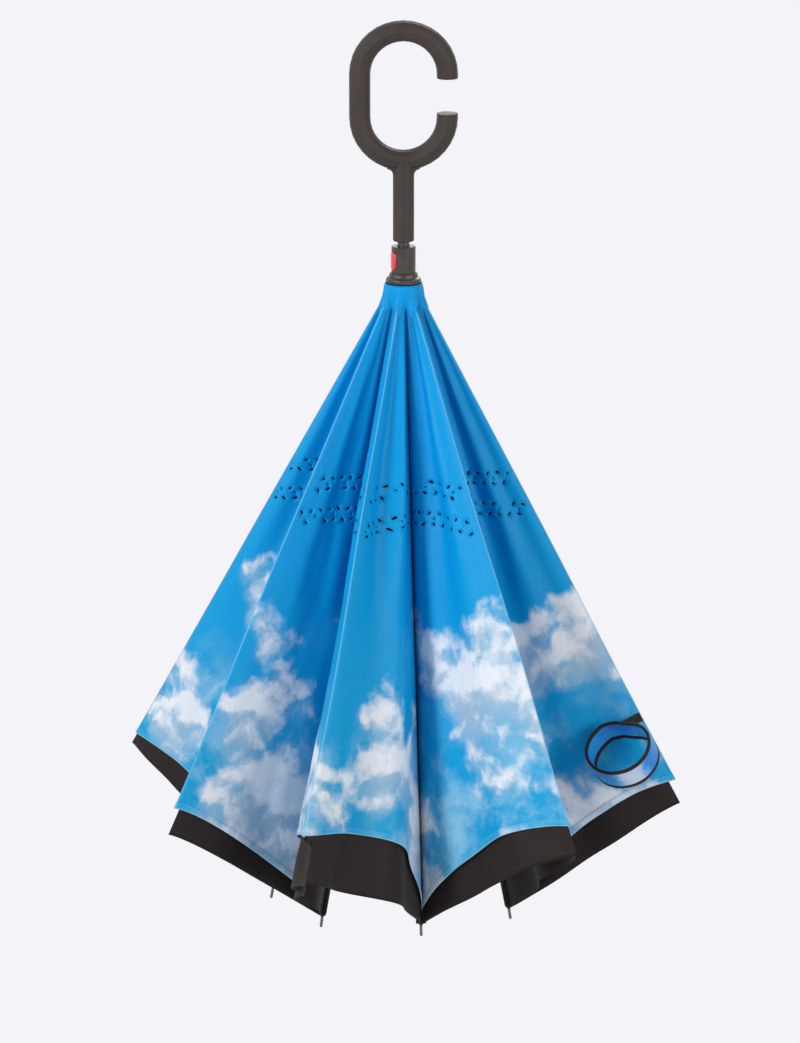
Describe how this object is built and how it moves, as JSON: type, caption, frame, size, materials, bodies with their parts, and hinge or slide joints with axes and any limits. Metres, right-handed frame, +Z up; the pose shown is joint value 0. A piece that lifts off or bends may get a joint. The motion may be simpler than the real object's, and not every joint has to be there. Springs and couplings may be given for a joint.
{
  "type": "inverted umbrella",
  "caption": "Reverse-folding stick umbrella, loosely folded, with a C-shaped handle, sliding runner, hinged ribs and two-layer canopy panels, and a tie strap.",
  "frame": {"origin": "top of the inside of the handle's loop, where the folded umbrella hangs", "axes": "+Z up along the shaft, -Y towards the viewer, +X towards the mouth of the loop"},
  "size_m": [0.5144, 0.5144, 0.8003],
  "materials": {
    "grip": "matte soft-touch coating",
    "plastic": "satin moulded",
    "button_plastic": "gloss moulded",
    "steel": "dark coated steel",
    "rod": "glass-fibre rod, metal tip",
    "inner_cloth": "printed satin",
    "outer_cloth": "plain weave"
  },
  "bodies": {
    "frame": {"handle": "grip", "shaft": "steel", "top_notch": "plastic", "ferrule": "plastic", "outer_crown": "outer_cloth"},
    "runner": {"runner_housing": "plastic", "canopy_collar": "plastic", "rib_hub": "plastic", "button_spring": "steel"},
    "button": {"release_button": "button_plastic"},
    "rib_1": {"rib_1": "rod"},
    "stretcher_1": {"stretcher_1": "steel"},
    "panels_1_right": {"inner_panel_1_right": "inner_cloth", "outer_panel_1_right": "outer_cloth"},
    "panels_1_left": {"inner_panel_1_left": "inner_cloth", "outer_panel_1_left": "outer_cloth"},
    "rib_2": {"rib_2": "rod"},
    "stretcher_2": {"stretcher_2": "steel"},
    "panels_2_right": {"inner_panel_2_right": "inner_cloth", "outer_panel_2_right": "outer_cloth", "tie_strap": "inner_cloth", "strap_tab": "outer_cloth"},
    "panels_2_left": {"inner_panel_2_left": "inner_cloth", "outer_panel_2_left": "outer_cloth"},
    "rib_3": {"rib_3": "rod"},
    "stretcher_3": {"stretcher_3": "steel"},
    "panels_3_right": {"inner_panel_3_right": "inner_cloth", "outer_panel_3_right": "outer_cloth"},
    "panels_3_left": {"inner_panel_3_left": "inner_cloth", "outer_panel_3_left": "outer_cloth"},
    "rib_4": {"rib_4": "rod"},
    "stretcher_4": {"stretcher_4": "steel"},
    "panels_4_right": {"inner_panel_4_right": "inner_cloth", "outer_panel_4_right": "outer_cloth"},
    "panels_4_left": {"inner_panel_4_left": "inner_cloth", "outer_panel_4_left": "outer_cloth"},
    "rib_5": {"rib_5": "rod"},
    "stretcher_5": {"stretcher_5": "steel"},
    "panels_5_right": {"inner_panel_5_right": "inner_cloth", "outer_panel_5_right": "outer_cloth"},
    "panels_5_left": {"inner_panel_5_left": "inner_cloth", "outer_panel_5_left": "outer_cloth"},
    "rib_6": {"rib_6": "rod"},
    "stretcher_6": {"stretcher_6": "steel"},
    "panels_6_right": {"inner_panel_6_right": "inner_cloth", "outer_panel_6_right": "outer_cloth"},
    "panels_6_left": {"inner_panel_6_left": "inner_cloth", "outer_panel_6_left": "outer_cloth"},
    "rib_7": {"rib_7": "rod"},
    "stretcher_7": {"stretcher_7": "steel"},
    "panels_7_right": {"inner_panel_7_right": "inner_cloth", "outer_panel_7_right": "outer_cloth"},
    "panels_7_left": {"inner_panel_7_left": "inner_cloth", "outer_panel_7_left": "outer_cloth"},
    "rib_8": {"rib_8": "rod"},
    "stretcher_8": {"stretcher_8": "steel"},
    "panels_8_right": {"inner_panel_8_right": "inner_cloth", "outer_panel_8_right": "outer_cloth"},
    "panels_8_left": {"inner_panel_8_left": "inner_cloth", "outer_panel_8_left": "outer_cloth"}
  },
  "joints": [
    {"name": "runner_slide", "type": "slide", "parent": "frame", "child": "runner", "axis": [0, 0, -1], "range_m": [-0.004, 0.47821], "deforming": ["outer_crown"]},
    {"name": "button_press", "type": "slide", "parent": "runner", "child": "button", "axis": [0.866, 0.5, 0], "range_m": [0, 0.0019], "stiffness_N_per_m": 800, "springref_m": -0.0005, "deforming": ["button_spring"]},
    {"name": "rib_1_hinge", "type": "hinge", "parent": "runner", "child": "rib_1", "pos_m": [0.0013, -0.00991, -0.2221], "axis": [-0.9914, -0.1305, 0], "range_deg": [-0.92, 109.3]},
    {"name": "stretcher_1_hinge", "type": "hinge", "parent": "frame", "child": "stretcher_1", "pos_m": [0.00111, -0.00843, -0.73031], "axis": [0.9914, 0.1305, 0], "range_deg": [-0.36, 43.34]},
    {"name": "panels_1_right_hinge", "type": "hinge", "parent": "rib_1", "child": "panels_1_right", "pos_m": [0.00162, -0.01235, -0.22161], "axis": [-0.0254, 0.1926, 0.981], "range_deg": [-0.36, 43.51]},
    {"name": "panels_1_left_hinge", "type": "hinge", "parent": "rib_1", "child": "panels_1_left", "pos_m": [0.00162, -0.01235, -0.22161], "axis": [0.0254, -0.1926, -0.981], "range_deg": [-0.36, 43.51]},
    {"name": "rib_2_hinge", "type": "hinge", "parent": "runner", "child": "rib_2", "pos_m": [0.00793, -0.00609, -0.2221], "axis": [-0.6088, -0.7934, 0], "range_deg": [-0.92, 109.3]},
    {"name": "stretcher_2_hinge", "type": "hinge", "parent": "frame", "child": "stretcher_2", "pos_m": [0.00674, -0.00517, -0.73031], "axis": [0.6088, 0.7934, 0], "range_deg": [-0.36, 43.34]},
    {"name": "panels_2_right_hinge", "type": "hinge", "parent": "rib_2", "child": "panels_2_right", "pos_m": [0.00988, -0.00758, -0.22161], "axis": [-0.1541, 0.1182, 0.981], "range_deg": [-0.36, 43.51]},
    {"name": "panels_2_left_hinge", "type": "hinge", "parent": "rib_2", "child": "panels_2_left", "pos_m": [0.00988, -0.00758, -0.22161], "axis": [0.1541, -0.1182, -0.981], "range_deg": [-0.36, 43.51]},
    {"name": "rib_3_hinge", "type": "hinge", "parent": "runner", "child": "rib_3", "pos_m": [0.00991, 0.0013, -0.2221], "axis": [0.1305, -0.9914, 0], "range_deg": [-0.92, 109.3]},
    {"name": "stretcher_3_hinge", "type": "hinge", "parent": "frame", "child": "stretcher_3", "pos_m": [0.00843, 0.00111, -0.73031], "axis": [-0.1305, 0.9914, 0], "range_deg": [-0.36, 43.34]},
    {"name": "panels_3_right_hinge", "type": "hinge", "parent": "rib_3", "child": "panels_3_right", "pos_m": [0.01235, 0.00162, -0.22161], "axis": [-0.1926, -0.0254, 0.981], "range_deg": [-0.36, 43.51]},
    {"name": "panels_3_left_hinge", "type": "hinge", "parent": "rib_3", "child": "panels_3_left", "pos_m": [0.01235, 0.00162, -0.22161], "axis": [0.1926, 0.0254, -0.981], "range_deg": [-0.36, 43.51]},
    {"name": "rib_4_hinge", "type": "hinge", "parent": "runner", "child": "rib_4", "pos_m": [0.00609, 0.00793, -0.2221], "axis": [0.7934, -0.6088, 0], "range_deg": [-0.92, 109.3]},
    {"name": "stretcher_4_hinge", "type": "hinge", "parent": "frame", "child": "stretcher_4", "pos_m": [0.00517, 0.00674, -0.73031], "axis": [-0.7934, 0.6088, 0], "range_deg": [-0.36, 43.34]},
    {"name": "panels_4_right_hinge", "type": "hinge", "parent": "rib_4", "child": "panels_4_right", "pos_m": [0.00758, 0.00988, -0.22161], "axis": [-0.1182, -0.1541, 0.981], "range_deg": [-0.36, 43.51]},
    {"name": "panels_4_left_hinge", "type": "hinge", "parent": "rib_4", "child": "panels_4_left", "pos_m": [0.00758, 0.00988, -0.22161], "axis": [0.1182, 0.1541, -0.981], "range_deg": [-0.36, 43.51]},
    {"name": "rib_5_hinge", "type": "hinge", "parent": "runner", "child": "rib_5", "pos_m": [-0.0013, 0.00991, -0.2221], "axis": [0.9914, 0.1305, 0], "range_deg": [-0.92, 109.3]},
    {"name": "stretcher_5_hinge", "type": "hinge", "parent": "frame", "child": "stretcher_5", "pos_m": [-0.00111, 0.00843, -0.73031], "axis": [-0.9914, -0.1305, 0], "range_deg": [-0.36, 43.34]},
    {"name": "panels_5_right_hinge", "type": "hinge", "parent": "rib_5", "child": "panels_5_right", "pos_m": [-0.00162, 0.01235, -0.22161], "axis": [0.0254, -0.1926, 0.981], "range_deg": [-0.36, 43.51]},
    {"name": "panels_5_left_hinge", "type": "hinge", "parent": "rib_5", "child": "panels_5_left", "pos_m": [-0.00162, 0.01235, -0.22161], "axis": [-0.0254, 0.1926, -0.981], "range_deg": [-0.36, 43.51]},
    {"name": "rib_6_hinge", "type": "hinge", "parent": "runner", "child": "rib_6", "pos_m": [-0.00793, 0.00609, -0.2221], "axis": [0.6088, 0.7934, 0], "range_deg": [-0.92, 109.3]},
    {"name": "stretcher_6_hinge", "type": "hinge", "parent": "frame", "child": "stretcher_6", "pos_m": [-0.00674, 0.00517, -0.73031], "axis": [-0.6088, -0.7934, 0], "range_deg": [-0.36, 43.34]},
    {"name": "panels_6_right_hinge", "type": "hinge", "parent": "rib_6", "child": "panels_6_right", "pos_m": [-0.00988, 0.00758, -0.22161], "axis": [0.1541, -0.1182, 0.981], "range_deg": [-0.36, 43.51]},
    {"name": "panels_6_left_hinge", "type": "hinge", "parent": "rib_6", "child": "panels_6_left", "pos_m": [-0.00988, 0.00758, -0.22161], "axis": [-0.1541, 0.1182, -0.981], "range_deg": [-0.36, 43.51]},
    {"name": "rib_7_hinge", "type": "hinge", "parent": "runner", "child": "rib_7", "pos_m": [-0.00991, -0.0013, -0.2221], "axis": [-0.1305, 0.9914, 0], "range_deg": [-0.92, 109.3]},
    {"name": "stretcher_7_hinge", "type": "hinge", "parent": "frame", "child": "stretcher_7", "pos_m": [-0.00843, -0.00111, -0.73031], "axis": [0.1305, -0.9914, 0], "range_deg": [-0.36, 43.34]},
    {"name": "panels_7_right_hinge", "type": "hinge", "parent": "rib_7", "child": "panels_7_right", "pos_m": [-0.01235, -0.00162, -0.22161], "axis": [0.1926, 0.0254, 0.981], "range_deg": [-0.36, 43.51]},
    {"name": "panels_7_left_hinge", "type": "hinge", "parent": "rib_7", "child": "panels_7_left", "pos_m": [-0.01235, -0.00162, -0.22161], "axis": [-0.1926, -0.0254, -0.981], "range_deg": [-0.36, 43.51]},
    {"name": "rib_8_hinge", "type": "hinge", "parent": "runner", "child": "rib_8", "pos_m": [-0.00609, -0.00793, -0.2221], "axis": [-0.7934, 0.6088, 0], "range_deg": [-0.92, 109.3]},
    {"name": "stretcher_8_hinge", "type": "hinge", "parent": "frame", "child": "stretcher_8", "pos_m": [-0.00517, -0.00674, -0.73031], "axis": [0.7934, -0.6088, 0], "range_deg": [-0.36, 43.34]},
    {"name": "panels_8_right_hinge", "type": "hinge", "parent": "rib_8", "child": "panels_8_right", "pos_m": [-0.00758, -0.00988, -0.22161], "axis": [0.1182, 0.1541, 0.981], "range_deg": [-0.36, 43.51]},
    {"name": "panels_8_left_hinge", "type": "hinge", "parent": "rib_8", "child": "panels_8_left", "pos_m": [-0.00758, -0.00988, -0.22161], "axis": [-0.1182, -0.1541, -0.981], "range_deg": [-0.36, 43.51]}
  ],
  "couplings": [
    {"joint": "rib_1_hinge", "follows": "runner_slide", "rad_per_m": 3.9891},
    {"joint": "stretcher_1_hinge", "follows": "runner_slide", "rad_per_m": 1.582},
    {"joint": "panels_1_right_hinge", "follows": "runner_slide", "rad_per_m": 1.588},
    {"joint": "panels_1_left_hinge", "follows": "runner_slide", "rad_per_m": 1.588},
    {"joint": "rib_2_hinge", "follows": "runner_slide", "rad_per_m": 3.9891},
    {"joint": "stretcher_2_hinge", "follows": "runner_slide", "rad_per_m": 1.582},
    {"joint": "panels_2_right_hinge", "follows": "runner_slide", "rad_per_m": 1.588},
    {"joint": "panels_2_left_hinge", "follows": "runner_slide", "rad_per_m": 1.588},
    {"joint": "rib_3_hinge", "follows": "runner_slide", "rad_per_m": 3.9891},
    {"joint": "stretcher_3_hinge", "follows": "runner_slide", "rad_per_m": 1.582},
    {"joint": "panels_3_right_hinge", "follows": "runner_slide", "rad_per_m": 1.588},
    {"joint": "panels_3_left_hinge", "follows": "runner_slide", "rad_per_m": 1.588},
    {"joint": "rib_4_hinge", "follows": "runner_slide", "rad_per_m": 3.9891},
    {"joint": "stretcher_4_hinge", "follows": "runner_slide", "rad_per_m": 1.582},
    {"joint": "panels_4_right_hinge", "follows": "runner_slide", "rad_per_m": 1.588},
    {"joint": "panels_4_left_hinge", "follows": "runner_slide", "rad_per_m": 1.588},
    {"joint": "rib_5_hinge", "follows": "runner_slide", "rad_per_m": 3.9891},
    {"joint": "stretcher_5_hinge", "follows": "runner_slide", "rad_per_m": 1.582},
    {"joint": "panels_5_right_hinge", "follows": "runner_slide", "rad_per_m": 1.588},
    {"joint": "panels_5_left_hinge", "follows": "runner_slide", "rad_per_m": 1.588},
    {"joint": "rib_6_hinge", "follows": "runner_slide", "rad_per_m": 3.9891},
    {"joint": "stretcher_6_hinge", "follows": "runner_slide", "rad_per_m": 1.582},
    {"joint": "panels_6_right_hinge", "follows": "runner_slide", "rad_per_m": 1.588},
    {"joint": "panels_6_left_hinge", "follows": "runner_slide", "rad_per_m": 1.588},
    {"joint": "rib_7_hinge", "follows": "runner_slide", "rad_per_m": 3.9891},
    {"joint": "stretcher_7_hinge", "follows": "runner_slide", "rad_per_m": 1.582},
    {"joint": "panels_7_right_hinge", "follows": "runner_slide", "rad_per_m": 1.588},
    {"joint": "panels_7_left_hinge", "follows": "runner_slide", "rad_per_m": 1.588},
    {"joint": "rib_8_hinge", "follows": "runner_slide", "rad_per_m": 3.9891},
    {"joint": "stretcher_8_hinge", "follows": "runner_slide", "rad_per_m": 1.582},
    {"joint": "panels_8_right_hinge", "follows": "runner_slide", "rad_per_m": 1.588},
    {"joint": "panels_8_left_hinge", "follows": "runner_slide", "rad_per_m": 1.588}
  ]
}
